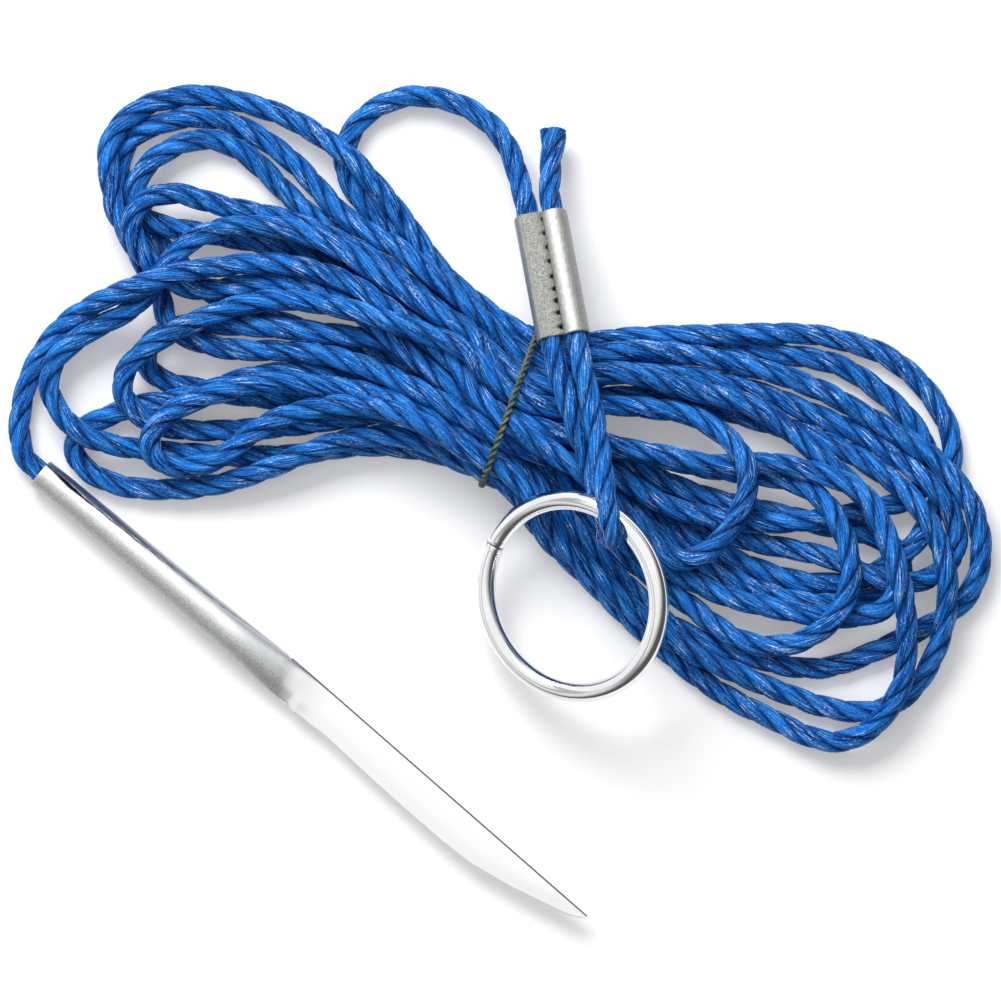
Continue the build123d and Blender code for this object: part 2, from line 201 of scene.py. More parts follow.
# Hank: where the tie draws it in, and its loops in the order in which the rope was wound
hank = {
    "waist": (1.4, 14.1),
    "waistAngle": -20.0,
    "waistStep": 3.95,
    "waistHalf": 5.0,
    "slotCount": 6,
    "orderStep": 2.0,  # height of one step of the order before the rope settles
    # slot on the left and on the right of the tie, each time that the rope passes it
    "slots": [
        (1.2, 1.3), (4.6, 5), (0.75, 0.85), (4, 5), (1.4, 1.6), (5, 5.6), (5.4, 5.8), (2.6, 3),
        (3.3, 4.4), (2.7, 3.4), (4, 3.9), (1.9, 2.1), (3.8, 4), (5.8, 6), (4.2, 4.2), (6.1, 6),
        (2.4, 2.6), (4.5, 4.8), (2.9, 3.1), (3.4, 4.3),
    ],
    # side, order of lying from the floor up along the loop, and the points in plan
    "loops": [
        (1, [1.5, 1.5, 1.5, 1.5, 4, 5], [
            (14.9, 22.5), (22.4, 22.9), (29.9, 23.2), (37.4, 22.9), (44.6, 22.2), (49.3, 21.3),
            (52.7, 19.9), (56, 17.6), (59, 15.2), (61.4, 12.8), (63.2, 10.2), (64.4, 7.6),
            (64.9, 5.2), (64.2, 2.6), (61.7, 0.2), (56.9, -1.2), (51.7, -2.4), (45.8, -3.2),
            (40.4, -3.5), (35.2, -3.2), (29.9, -2.2), (24.7, -0.9), (19.7, 2.1), (14.9, 5.3),
        ]),
        (-1, [7, 6.5, 6, 4, 3, 2.5, 2, 2, 2, 2, 2, 3], [
            (-8.6, 14), (-12.6, 16.2), (-16.6, 18.2), (-20.8, 20.4), (-26.8, 22.5), (-32.9, 23.2),
            (-38.3, 23), (-43.4, 23.8), (-47.5, 25.2), (-49.9, 27.2), (-50.4, 29.4), (-50.5, 31.4),
            (-51.7, 33.8), (-53.6, 36.6), (-55.3, 39.6), (-56.5, 43), (-57.8, 46.8), (-58.6, 50.1),
            (-58.6, 53.1), (-57.5, 55.6), (-55.6, 57.6), (-52.6, 59.2), (-49.3, 60.3), (-45.5, 61),
            (-41.8, 60.6), (-38, 59.7), (-34.6, 58.8), (-31.3, 57.4), (-27.8, 55.4), (-24.4, 53.2),
            (-21.1, 50.2), (-18.1, 46.5), (-15.1, 42.8), (-12.4, 38.5), (-9.1, 33.8), (-4.6, 30),
        ]),
        (1, [3, 2, 2, 2, 1.5, 1], [
            (14.9, 23.8), (22.4, 24.3), (29.9, 24.6), (37.4, 24.8), (44.6, 25.1), (48.8, 24.8),
            (52.4, 23.8), (56.2, 22.9), (59.8, 20.8), (63.1, 18), (65.5, 14.6), (67.3, 11.4),
            (67.9, 8.4), (67.6, 5.1), (66.7, 1.5), (65.2, -2.1), (62.9, -5.8), (59.9, -9.3),
            (55.9, -11.7), (51.7, -12.8), (46.4, -13), (41.2, -11.6), (35.9, -9.4), (30.7, -6.4),
            (25.4, -3.4), (20.9, -0.4), (15.7, 3.3),
        ]),
        (-1, [0.5, 0.5, 1, 1.5, 2.5, 3, 3, 4], [
            (-8.4, 16.8), (-15.1, 21.2), (-22.6, 24.3), (-30.1, 26.1), (-36.4, 27.6), (-41.8, 30),
            (-45.8, 33.3), (-49.3, 37), (-52.6, 40.8), (-55.3, 44.5), (-56.9, 48), (-57.5, 51.6),
            (-56.8, 54.1), (-54.8, 56.1), (-52.1, 57.3), (-48.8, 58.2), (-45.4, 58.3),
            (-41.6, 57.4), (-38.3, 55.9), (-34.9, 53.9), (-31.6, 51.4), (-28.9, 48.6),
            (-26.3, 45.6), (-23.8, 42.8), (-20.3, 40.5), (-16.6, 38.5), (-12.8, 36), (-8.3, 32.1),
            (-3.1, 27.4),
        ]),
        (1, [5, 4.5, 4.5, 5, 4, 4, 3], [
            (14.9, 21.9), (22.4, 22.5), (29.6, 21.4), (34.4, 20.4), (38.9, 19.6), (43.4, 18.3),
            (48.1, 16.5), (51.5, 14.7), (55, 12.4), (58.4, 10.5), (61.9, 8.2), (64.9, 6.1),
            (67.4, 3.8), (69.4, 1.1), (70.7, -1.8), (71.6, -4.6), (72.1, -7.6), (71.6, -11.1),
            (70.3, -14.2), (67.9, -16.6), (64.7, -18.6), (61.1, -20.4), (57.7, -21.9),
            (54.2, -23.4), (50.9, -24.6), (47.2, -25.2), (43.1, -24.8), (38.6, -23.6),
            (34.1, -22.2), (29.6, -20.8), (25.1, -18.9), (20.2, -14.7), (14.9, -8.7), (9.7, -2.7),
        ]),
        (-1, [6, 7.5, 8, 8, 8, 8, 8], [
            (-9.6, 12.6), (-15.1, 15.2), (-20.8, 16.8), (-26.8, 17.7), (-31.6, 18.3), (-36.4, 18.1),
            (-40.3, 17.2), (-44.2, 16.3), (-47.5, 15), (-50.2, 13.3), (-52.3, 11.4), (-53.2, 9),
            (-52.3, 6.9), (-49.9, 5.5), (-46.6, 5.2), (-42.8, 6.3), (-39.8, 8.4), (-36.8, 10.8),
            (-33.8, 12.6), (-29.9, 13.8), (-25.3, 14.7), (-20.8, 15), (-15.2, 13.9), (-10.2, 11.6),
        ]),
        (1, [6, 6, 6.5, 7, 7, 6, 4, 3], [
            (8.9, -5.7), (14.9, -11.7), (20.9, -17.2), (26.9, -21.4), (31.4, -23.7), (35.9, -25.8),
            (40.4, -27.8), (44.9, -29.5), (48.7, -30.9), (52.1, -31.6), (55.4, -31.8),
            (58.4, -30.9), (61.1, -29.2), (63.2, -26.7), (64.9, -23.7), (66.1, -20.4),
            (66.8, -16.9), (67.1, -13.5), (66.8, -10.2), (66.1, -7.2), (64.9, -4.2), (63.1, -1.2),
            (60.7, 1.6), (58.1, 3.8), (55.4, 5.7), (52.4, 7.6), (49.1, 9.3), (45.4, 10.6),
            (40.7, 11.8), (35.6, 13.2), (29.9, 14.8), (22.4, 16), (16.4, 16),
        ]),
        (-1, [2, 2, 2.5, 2, 1, 0.5, 0], [
            (-6.4, 23.2), (-12.1, 28.9), (-18.1, 34.4), (-23.3, 38.5), (-27.8, 42.1), (-30.8, 44.9),
            (-33.5, 47.7), (-36.1, 50.5), (-38.5, 52.8), (-41.2, 54.3), (-44.2, 54.9),
            (-47.3, 54.3), (-50.6, 52.9), (-53.5, 50.5), (-55.4, 47.5), (-55.6, 44.5), (-53.8, 42),
            (-50.3, 41), (-45.8, 40.4), (-40.6, 39.6), (-35.5, 38.8), (-31, 38), (-26.8, 36.6),
            (-22, 34.2), (-16.5, 30), (-10.6, 24), (-4.6, 17.8),
        ]),
        (1, [2.5, 2.5, 2, 1.5, 1.5, 1.5, 2], [
            (13.4, 5.4), (18.5, -0.4), (23.5, -4.6), (28.5, -8), (33.5, -10.8), (38.5, -12.8),
            (43.5, -14.2), (48.5, -14.9), (53.5, -14.7), (57.5, -13.4), (59.8, -10.9), (59.8, -7.9),
            (57.5, -5.4), (53, -4), (47, -2.8), (41, -1.4), (35, -0.4), (29, 1), (23, 3.4),
            (17.5, 6.8), (13.4, 9.6),
        ]),
        (-1, [1, 1, 0.5, 0.5, 0.5, 1, 1.5], [
            (-7, 21.5), (-14, 24.2), (-22, 25), (-29, 25.7), (-36, 26.5), (-42, 26.8), (-47, 26.6),
            (-51, 25.5), (-53.3, 23.3), (-53.5, 20.7), (-51.9, 18.5), (-48.6, 17.2), (-43, 16.6),
            (-37, 15.9), (-30, 15.2), (-22, 14.9), (-14, 14.4), (-7, 13.6),
        ]),
        (1, [0, 2, 3, 3.5, 4, 4, 4, 6], [
            (13.4, 9.6), (17.9, 6.4), (22.4, 2.6), (27.7, -1.6), (32.9, -4.4), (37.7, -6),
            (41.9, -6.8), (46.1, -7.4), (50.6, -8.4), (55.4, -10.6), (59.9, -11.6), (63.8, -11.6),
            (66.8, -10.2), (68.9, -7.6), (69.2, -4.2), (68.2, -0.9), (65.9, 2.1), (62.9, 5.1),
            (59.5, 7.5), (56, 9.6), (52.7, 11.1), (49.3, 12.4), (45.8, 13.8), (42.4, 15.4),
            (38.9, 16.8), (35.2, 18.1), (30.7, 19.1), (25.4, 19.8), (19.4, 20.4),
        ]),
        (-1, [6, 6, 5.5, 5, 5, 4.5, 3.5, 3.5, 5, 6], [
            (-5.4, 25), (-10.4, 29.2), (-14.6, 33), (-18.1, 36), (-22.3, 38.4), (-26.8, 40.5),
            (-31.6, 42.4), (-36.7, 43.5), (-40.4, 44.1), (-44.2, 45.1), (-47.3, 46.2),
            (-50.3, 46.4), (-53.2, 45.6), (-55.1, 43.8), (-55.7, 41.2), (-54.8, 38.2),
            (-52.9, 35.4), (-50.2, 33), (-46.6, 31.6), (-42.8, 31.6), (-38.3, 32.4), (-33.1, 32.7),
            (-27.1, 31.5), (-20.8, 28.1), (-14.6, 22.7), (-10.6, 19.4), (-6.8, 16.8),
        ]),
        (1, [6.5, 7, 7.5, 8, 8, 8, 7, 5, 4.5], [
            (13.4, 9), (17.9, 7.8), (22.7, 7), (27.7, 6), (31.9, 5.2), (35.9, 5.4), (39.7, 5.7),
            (43.4, 5.1), (47.2, 4.2), (50.6, 3.3), (53.5, 1.9), (55.4, -0.1), (56.8, -3),
            (58, -6.1), (59, -9.6), (59.8, -13.2), (60.4, -16.9), (60.7, -20.7), (60.7, -24.1),
            (60.1, -27.4), (58.7, -30.3), (56.9, -32.7), (54.4, -34.8), (51.4, -36), (47.9, -35.7),
            (44.2, -34.2), (40.4, -32.2), (35.9, -30.1), (31.4, -27.4), (26.9, -23.7),
            (22.4, -19.6), (17.9, -15.4), (13.4, -10.9), (8.9, -6.9), (5.2, -2.7),
        ]),
        (-1, [4.5, 4.5, 3, 1.5, 1, 1, 1], [
            (-10.4, 9.2), (-15.2, 10.6), (-20.8, 10.5), (-26.8, 8.8), (-32.9, 6.1), (-37.6, 4.2),
            (-41.5, 3), (-46.6, 2.1), (-51.8, 1.8), (-55.7, 2.1), (-59, 2.9), (-61.7, 4.2),
            (-63.5, 5.8), (-64.3, 7.8), (-63.8, 9.6), (-62.2, 11.2), (-59.5, 12.4), (-55.9, 13.7),
            (-51.8, 14.7), (-47.3, 15.4), (-42.8, 16.8), (-37.6, 18.6), (-31.6, 19.5),
            (-25.6, 18.9), (-18.1, 17.1), (-10.6, 15),
        ]),
        (1, [4, 5, 5.5, 6, 6, 5, 3, 2], [
            (13.4, 8.4), (18.7, 7.3), (23.9, 6.3), (29.9, 5.2), (35.9, 4.6), (41.2, 3.9),
            (45.4, 2.4), (48.2, 0.1), (50.3, -2.7), (51.8, -6), (52.7, -9.3), (52.7, -12.4),
            (51.7, -15.4), (49.7, -18), (47, -20.2), (43.7, -21.6), (40, -21.9), (36.5, -21.3),
            (33.2, -19.5), (30.7, -17.6), (28.1, -15.4), (25.4, -13.5), (20.9, -9.9), (15.7, -5.7),
            (11.2, -1.9),
        ]),
        (-1, [2, 2.5, 3, 3.5, 4, 4.5, 6, 7, 7, 7], [
            (-8.5, 7), (-14.6, 8.2), (-20.8, 8.5), (-25.3, 7.9), (-29.9, 6.9), (-36.4, 6.5),
            (-42.8, 6.9), (-49.3, 7.5), (-53.2, 7.9), (-57.1, 8.5), (-60.7, 9.4), (-63.4, 10.7),
            (-65.6, 12.8), (-67.3, 15.1), (-68.2, 17.7), (-67.9, 20.2), (-66.8, 22.3),
            (-64.7, 24.3), (-62, 26.1), (-59, 27.4), (-56, 28.9), (-53.5, 31.2), (-51.4, 34.2),
            (-49, 37.4), (-46.1, 39.6), (-42.7, 40.9), (-39.2, 41.5), (-35.5, 41.4), (-30.5, 40.6),
            (-26.8, 39.1), (-22.6, 36.9), (-18.8, 33.8), (-14.6, 30.8), (-8.5, 27.1), (-3.8, 24.9),
        ]),
        (1, [7, 6.8, 6, 5, 4.5, 4, 3], [
            (14, 19.3), (18.1, 19.6), (22.7, 18.8), (27.2, 17.4), (31.9, 16.3), (36.5, 15.3),
            (41, 13), (44.6, 9.9), (48.2, 6.6), (51.7, 3.6), (54.8, 0.3), (57.2, -3.9),
            (58.9, -8.2), (59.6, -12.4), (58.4, -15.6), (55.1, -16.8), (50.9, -17.2), (46.9, -16.6),
            (42.7, -15.8), (38.9, -15), (35.3, -14.3), (31.9, -13.1), (28.4, -11.5), (25, -9.8),
            (20.9, -7.9), (16.4, -4.2), (11.9, 0.3),
        ]),
        (-1, [3, 3, 4, 6, 7.5, 9, 9, 9], [
            (-7.6, 13), (-15.1, 13.8), (-22.6, 13), (-30.1, 11.7), (-37.6, 11.1), (-44.3, 10.9),
            (-49.3, 11.2), (-52.6, 12.4), (-55.1, 14.2), (-56.5, 16.2), (-56.8, 18.3), (-56, 20.2),
            (-54.2, 22.3), (-51.7, 24.1), (-48.8, 25.6), (-45.7, 27.1), (-41.5, 28.9),
            (-36.7, 30.3), (-31.7, 30.6), (-26.8, 30), (-20.8, 28.9), (-14.6, 26.8), (-8.5, 24.6),
            (-3.8, 22.3),
        ]),
        (1, [10, 10, 10, 10, 9, 8], [
            (15.1, 14.8), (19.3, 14.5), (23.9, 13.9), (27.4, 13.5), (29.9, 12.3), (32.6, 10.7),
            (34.7, 8.7), (36.2, 6.6), (37, 4.3), (36.8, 1.8), (36.1, -0.8), (34.9, -3.1),
            (32.9, -5.7), (30.7, -7.6), (28.1, -8.8), (25.6, -8.4), (23.2, -6.5), (20.2, -3.4),
            (16.4, 0.3), (12.7, 4.8),
        ]),
    ],
    "fromBow": [(-9.1, 32.7), (-3.8, 28.3)],
    "toLead": [
        (-4.6, 19.5), (-9.1, 23.6), (-14.3, 28.1), (-18.8, 31.5), (-22.7, 33.4), (-26.8, 34.9),
        (-31.7, 36), (-36.7, 36.1),
    ],
    "leadOrder": 8.0,
}

# Ring: steel wire bent round, its ends butted
ring = {
    "centre": (10.65, -14.1, 12.912),
    "level": (0.3420, -0.9397, 0.0),
    "rising": (0.8138, 0.2962, 0.5),
    "normal": (-0.4698, -0.1710, 0.8660),
    "radius": 14.6,  # to the middle of the wire
    "wire": 3.0,
    "joint": 219.0,
    "jointGap": 0.16,
    "cutEdge": 0.06,  # broken edges of the cut ends
    "rings": 260,
    "sides": 36,
    "sharp": 50.0,
    "chrome": (0.93, 0.93, 0.94),
    "smear": (0.82, 0.83, 0.84),
}


def ringCircle(degrees):
    angle = np.radians(degrees)[:, None]
    spoke = np.cos(angle) * np.array(ring["level"]) + np.sin(angle) * np.array(ring["rising"])
    return np.array(ring["centre"]) + ring["radius"] * spoke


# Bow and lead: the free stretches between the metal pieces and the hank
ferruleHeading = np.array([0.1712, -0.9240, 0.3420])
ferruleSide = np.array([0.9833, 0.1822, 0.0])
upperMouth = np.array([5.9751, 42.8791, 8.7096])
lowerMouth = np.array([9.4, 24.4, 15.55])
barrelOffset = 1.86
straight = 4.0  # length that the rope goes straight on outside a mouth
needleMouth = np.array([-69.2, 4.4, 2.36])
needleHeading = np.array([0.7660, -0.6427, 0.0138])
leftMouths = [mouth - ferruleSide * barrelOffset for mouth in (upperMouth, lowerMouth)]
rightMouths = [mouth + ferruleSide * barrelOffset for mouth in (upperMouth, lowerMouth)]
bow = {
    "inside": 3.0,  # length hidden in the ferrule
    "points": [
        (1.0, 54.6, 3.3), (-5.2, 59.9, 1.7), (-14.2, 61.7, 1.7), (-21.4, 58.0, 1.7),
        (-24.4, 51.8, 1.7), (-21.6, 45.6, 1.7), (-16.98, 41.74, 1.7), (-14.5, 38.6, 1.7),
    ],
}
lead = {
    "inside": 1.0,
    "grip": (0.9, 5.0, 9.0),  # places of the rope's end in the socket
    "points": [
        (-41.5, 35.7, 18.0), (-48.5, 34.8, 18.0), (-57.6, 31.4, 14.0), (-65.0, 27.0, 8.0),
        (-70.3, 20.4, 3.7), (-72.4, 13.2, 2.2),
    ],
}


def flat(angle):
    return np.array([math.cos(math.radians(angle)), math.sin(math.radians(angle))])


along = flat(hank["waistAngle"])
across = flat(hank["waistAngle"] + 90)
waist = np.array(hank["waist"])


def orderHeight(order):
    return ropeRadius + hank["orderStep"] * order


def waistPoint(side, slot, order):
    offset = ((hank["slotCount"] + 1) / 2 - slot) * hank["waistStep"]
    place = waist + along * side * hank["waistHalf"] + across * offset
    return np.array([*place, orderHeight(order)])


def hankPoints():
    line = [np.array([*point, ropeRadius]) for point in hank["fromBow"]]
    line.append(waistPoint(-1, hank["slots"][0][0], 0.0))
    for number, (side, orders, points) in enumerate(hank["loops"]):
        pick = 1 if side > 0 else 0
        places = np.linspace(0.0, len(orders) - 1, len(points))
        heights = orderHeight(np.interp(places, np.arange(len(orders)), orders))
        line.append(waistPoint(side, hank["slots"][number][pick], orders[0]))
        line += [np.array([*point, height]) for point, height in zip(points, heights)]
        line.append(waistPoint(side, hank["slots"][number + 1][pick], orders[-1]))
    last = hank["loops"][-1][1][-1]
    line.append(waistPoint(-1, hank["slots"][-1][0], last))
    return line + [np.array([*point, orderHeight(hank["leadOrder"])]) for point in hank["toLead"]]


def splinePoints(points, detail=8):
    # points along the smooth NURBS curve that has these control points
    curve = bpy.data.curves.new("route", "CURVE")
    curve.dimensions = "3D"
    curve.resolution_u = detail
    spline = curve.splines.new("NURBS")
    spline.points.add(len(points) - 1)
    spline.points.foreach_set("co", np.column_stack([points, np.ones(len(points))]).ravel())
    spline.order_u = 3
    spline.use_endpoint_u = True
    holder = bpy.data.objects.new("route", curve)
    mesh = bpy.data.meshes.new_from_object(holder)
    found = np.zeros(len(mesh.vertices) * 3)
    mesh.vertices.foreach_get("co", found)
    bpy.data.meshes.remove(mesh)
    bpy.data.objects.remove(holder)
    bpy.data.curves.remove(curve)
    return found.reshape(-1, 3)


def lengths(points):
    return np.concatenate([[0.0], np.cumsum(np.linalg.norm(np.diff(points, axis=0), axis=1))])


def evenly(points, step):
    run = lengths(points)
    places = np.linspace(0.0, run[-1], max(2, math.ceil(run[-1] / step) + 1))
    return np.column_stack([np.interp(places, run, points[:, axis]) for axis in range(3)])


def tangents(line):
    ahead = np.gradient(line, axis=0)
    return ahead / np.linalg.norm(ahead, axis=1)[:, None]


# Eye: from the free tail down one barrel, round the ring's wire and back up the other barrel
eye = {
    "points": [
        (8.0, 55.6, 4.3),
        tuple(rightMouths[0] - ferruleHeading * straight),
        tuple(rightMouths[0]),
        tuple(rightMouths[1]),
        tuple(rightMouths[1] + ferruleHeading * straight),
        (13.9, 13.0, 18.6), (15.45, 3.3, 21.6), (16.5, -5.6, 22.2),
        (16.3, -5.5, 14.2), (14.2, 3.0, 14.8), (10.6, 13.0, 16.9),
        tuple(leftMouths[1] + ferruleHeading * straight),
        tuple(leftMouths[1]),
        tuple(leftMouths[0] + ferruleHeading * bow["inside"]),
    ],
    "step": 0.6,
    "detail": 12,
    "crimp": 0.93,  # the rope is squeezed inside the ferrule
    "crimped": (0.5, 19.5),
    "flare": 1.3,  # the strands spread where the tail is cut
    "flareLength": 4.0,
    "flarePower": 1.5,
    "overHank": (25, -22),  # points of the line that lie over the hank
}
eyeLine = evenly(splinePoints(np.array(eye["points"]), eye["detail"]), eye["step"])
eyeRun = lengths(eyeLine)


def eyePinch():
    # size of the rope along the eye
    down = (eyeLine - upperMouth) @ ferruleHeading
    first, last = eye["crimped"]
    size = np.where((down > first) & (down < last), eye["crimp"], 1.0)
    spread = np.clip(1 - eyeRun / eye["flareLength"], 0.0, 1.0) ** eye["flarePower"]
    return size + (eye["flare"] - 1) * spread


# Settling: the rope sinks under its weight until it lies on the floor or on the rope below it
settling = {
    "step": 2.0,  # between the points that settle
    "heldStart": 11.0,  # lengths at the ferrule and at the needle that stay in place
    "heldEnd": 6.0,
    "rounds": 400,
    "sink": 0.06,
    "sinkEnd": 0.90,  # part of the rounds after which it no longer sinks
    "sinkEase": 0.15,
    "squash": 0.95,  # size of the rope where it is pressed, of the diameter
    "drift": 0.45,  # how far a point may shift sideways
    "recall": 0.985,  # part of that shift that each round keeps
    "search": 20,  # rounds from one search for contacts to the next
    "near": 1.5,  # in diameters: how near points are that may touch, and how far along the rope
    "apart": 2.5,
    "stiffUp": 0.35,
    "stiffSide": 0.6,
    "lift": 0.25,  # least upward push, in diameters
    "sunk": 0.3,  # how much deeper lying rope is pushed out, and down to which depth
    "sunkDepth": 3.0,
    "haste": 1.4,
    "ringClear": 0.1,
    "bendTurns": 2,
    "contactTurns": 3,
    "guardPoints": 100,
    "guardRun": 1e5,  # the guards count as far along the rope, and as lying above all of it
    "guardOrder": 99.0,
}


def settle(points, held, guards):
    # points may shift a little sideways, and keep clear of the guards, which are (x, y, z, radius)
    count, diameter, rounds = len(points), rope["diameter"], settling["rounds"]
    place = np.vstack([points, guards[:, :3]])
    radius = np.concatenate([np.full(count, ropeRadius * settling["squash"]), guards[:, 3]])
    run = np.concatenate([lengths(points), np.full(len(guards), settling["guardRun"])])
    order = np.concatenate([points[:, 2], np.full(len(guards), settling["guardOrder"])])
    home = points[:, :2].copy()
    free = np.concatenate([~held, np.zeros(len(guards), bool)])
    loose = free[:count]
    for turn in range(rounds):
        if turn % settling["search"] == 0:
            plan = place[:, :2]
            close = np.linalg.norm(plan[:, None] - plan[None], axis=2) < settling["near"] * diameter
            near = close & (np.abs(run[:, None] - run[None]) > settling["apart"] * diameter)
            one, two = np.nonzero(np.triu(near))
            swap = order[one] < order[two]
            upper, lower = np.where(swap, two, one), np.where(swap, one, two)
            need = radius[upper] + radius[lower]
            shareUp = np.where(free[upper], np.where(free[lower], 0.5, 1.0), 0.0)[:, None]
            shareDown = np.where(free[lower], np.where(free[upper], 0.5, 1.0), 0.0)[:, None]
        line = place[:count]
        ease = (settling["sinkEnd"] * rounds - turn) / (settling["sinkEase"] * rounds)
        line[loose, 2] -= settling["sink"] * min(1.0, max(0.0, ease))
        shift = line[:, :2] - home
        for _ in range(settling["bendTurns"]):
            bend = np.zeros(count)
            bend[1:-1] = 0.5 * (line[:-2, 2] + line[2:, 2]) - line[1:-1, 2]
            line[loose, 2] += settling["stiffUp"] * bend[loose]
            sway = np.zeros_like(shift)
            sway[1:-1] = 0.5 * (shift[:-2] + shift[2:]) - shift[1:-1]
            shift[loose] += settling["stiffSide"] * sway[loose]
        far = np.linalg.norm(shift, axis=1, keepdims=True)
        kept = np.minimum(1.0, settling["drift"] / np.maximum(far, 1e-9))
        line[:, :2] = home + settling["recall"] * shift * kept
        for _ in range(settling["contactTurns"]):
            gap = place[upper] - place[lower]
            push = gap.copy()
            push[:, 2] = np.maximum(gap[:, 2], settling["lift"] * diameter)
            level = np.linalg.norm(gap[:, :2], axis=1)
            below = level - settling["sunk"] * np.minimum(-gap[:, 2], settling["sunkDepth"])
            real = np.where(gap[:, 2] < 0, below, np.linalg.norm(gap, axis=1))
            short = np.maximum(need - real, 0.0)
            push *= (short / np.linalg.norm(push, axis=1))[:, None]
            move, hits = np.zeros_like(place), np.zeros(len(place))
            np.add.at(move, upper, push * shareUp)
            np.add.at(move, lower, -push * shareDown)
            np.add.at(hits, upper, short > 0)
            np.add.at(hits, lower, short > 0)
            place += settling["haste"] * move / np.maximum(hits, 1.0)[:, None]
            line = place[:count]
            line[loose, 2] = np.maximum(line[loose, 2], ropeRadius)
    print("rope settled,", count, "points")
    return place[:count]


def settleGuards():
    # the ring, and the eye where it lies over the hank
    circle = ringCircle(np.linspace(0.0, 360.0, settling["guardPoints"]))
    guards = [(*point, ring["wire"] / 2 + settling["ringClear"]) for point in circle]
    guards += [(*point, ropeRadius) for point in eyeLine[slice(*eye["overHank"], 2)]]
    return np.array(guards)


def wholeRoute():
    # one line from the ferrule through bow, hank and lead to the needle
    mouth = leftMouths[0]
    line = [mouth + ferruleHeading * bow["inside"], mouth, mouth - ferruleHeading * straight]
    line += [np.array(point) for point in bow["points"]]
    line += hankPoints()
    line += [np.array(point) for point in lead["points"]]
    line += [needleMouth + needleHeading * place for place in (-straight, 0.0, lead["inside"])]
    line = evenly(splinePoints(np.array(line)), settling["step"])
    run = lengths(line)
    held = (run < settling["heldStart"]) | (run > run[-1] - settling["heldEnd"])
    return settle(line, held, settleGuards())


def cutAt(line, place):
    return int(np.argmin(np.linalg.norm(line[:, :2] - np.array(place)[:2], axis=1)))


def carriedFrame(line):
    # a frame that is carried along the line without turning about it
    tangent = tangents(line)
    side = np.zeros_like(line)
    start = np.cross(tangent[0], [0.0, 0.0, 1.0])
    side[0] = start / np.linalg.norm(start)
    for number in range(1, len(line)):
        moved = side[number - 1] - tangent[number] * np.dot(side[number - 1], tangent[number])
        side[number] = moved / np.linalg.norm(moved)
    return side, np.cross(tangent, side)


def meshObject(name, points, faces, sharp=None, smooth=True):
    mesh = bpy.data.meshes.new(name)
    mesh.from_pydata([tuple(point) for point in np.asarray(points) * mm], [], faces)
    mesh.update()
    if smooth:
        mesh.polygons.foreach_set("use_smooth", [True] * len(mesh.polygons))
    if sharp:
        mesh.set_sharp_from_angle(angle=math.radians(sharp))
    made = bpy.data.objects.new(name, mesh)
    bpy.context.scene.collection.objects.link(made)
    return made


def tubeFaces(first, rings, sides, capStart=True, capEnd=True):
    faces = []
    for row in range(rings - 1):
        low, high = first + row * sides, first + (row + 1) * sides
        for side in range(sides):
            after = (side + 1) % sides
            faces.append((low + side, low + after, high + after, high + side))
    if capStart:
        faces.append(tuple(first + side for side in reversed(range(sides))))
    if capEnd:
        last = first + (rings - 1) * sides
        faces.append(tuple(last + side for side in range(sides)))
    return faces


def addVectors(made, name, values):
    attribute = made.data.attributes.new(name, "FLOAT_VECTOR", "POINT")
    attribute.data.foreach_set("vector", np.asarray(values, np.float32).ravel())


def ringAngles(sides):
    return np.linspace(0.0, 2 * math.pi, sides, endpoint=False)


lieApart = 9.0  # between the plies in the noise of their tufts


def twist(line, sideways, upward, run, form, pinch, sizes):
    # plies twisted about the line, with the place of each point among the fibres and on its own ply
    sides = form["sides"]
    around = ringAngles(sides)
    points, fibre, lie, faces = [], [], [], []
    for ply, size in enumerate(sizes):
        phase = 2 * math.pi * (run / form["lay"] + ply / len(sizes))
        outward = np.cos(phase)[:, None] * sideways + np.sin(phase)[:, None] * upward
        onward = np.cos(phase)[:, None] * upward - np.sin(phase)[:, None] * sideways
        high = (np.cos(around)[None] * form["plyHigh"] * size[:, None])[:, :, None]
        wide = (np.sin(around)[None] * form["plyWide"] * size[:, None])[:, :, None]
        centre = line + outward * form["plyOffset"] * pinch[:, None]
        faces += tubeFaces(len(points) * len(line) * sides, len(line), sides)
        skin = centre[:, None] + outward[:, None] * high + onward[:, None] * wide
        points.append(skin.reshape(-1, 3))
        angle = phase[:, None] + around[None]
        far = np.broadcast_to(run[:, None], angle.shape)
        crown = np.broadcast_to(np.cos(around)[None], angle.shape)
        among = [np.cos(angle) + form["plyApart"] * ply, np.sin(angle), far]
        fibre.append(np.stack(among, 2).reshape(-1, 3))
        lie.append(np.stack([crown, far, np.full(angle.shape, lieApart * ply)], 2).reshape(-1, 3))
    return np.concatenate(points), np.concatenate(fibre), np.concatenate(lie), faces


wanderKnots = np.arange(0.0, rope["wanderReach"], rope["wanderStep"])
wanderRows = np.random.default_rng(rope["wanderSeed"]).uniform(-1, 1, (3, len(wanderKnots)))


def strands(name, line, sideways, upward, run, pinch=None):
    # run is the length along the whole rope, so that the strands of its pieces join
    pinch = np.ones(len(line)) if pinch is None else pinch
    sizes = [pinch * (1 + rope["wander"] * np.interp(run, wanderKnots, row)) for row in wanderRows]
    points, fibre, lie, faces = twist(line, sideways, upward, run, rope, pinch, sizes)
    made = meshObject(name, points, faces, rope["sharp"])
    addVectors(made, "fibre", fibre)
    addVectors(made, "lie", lie)
    return made


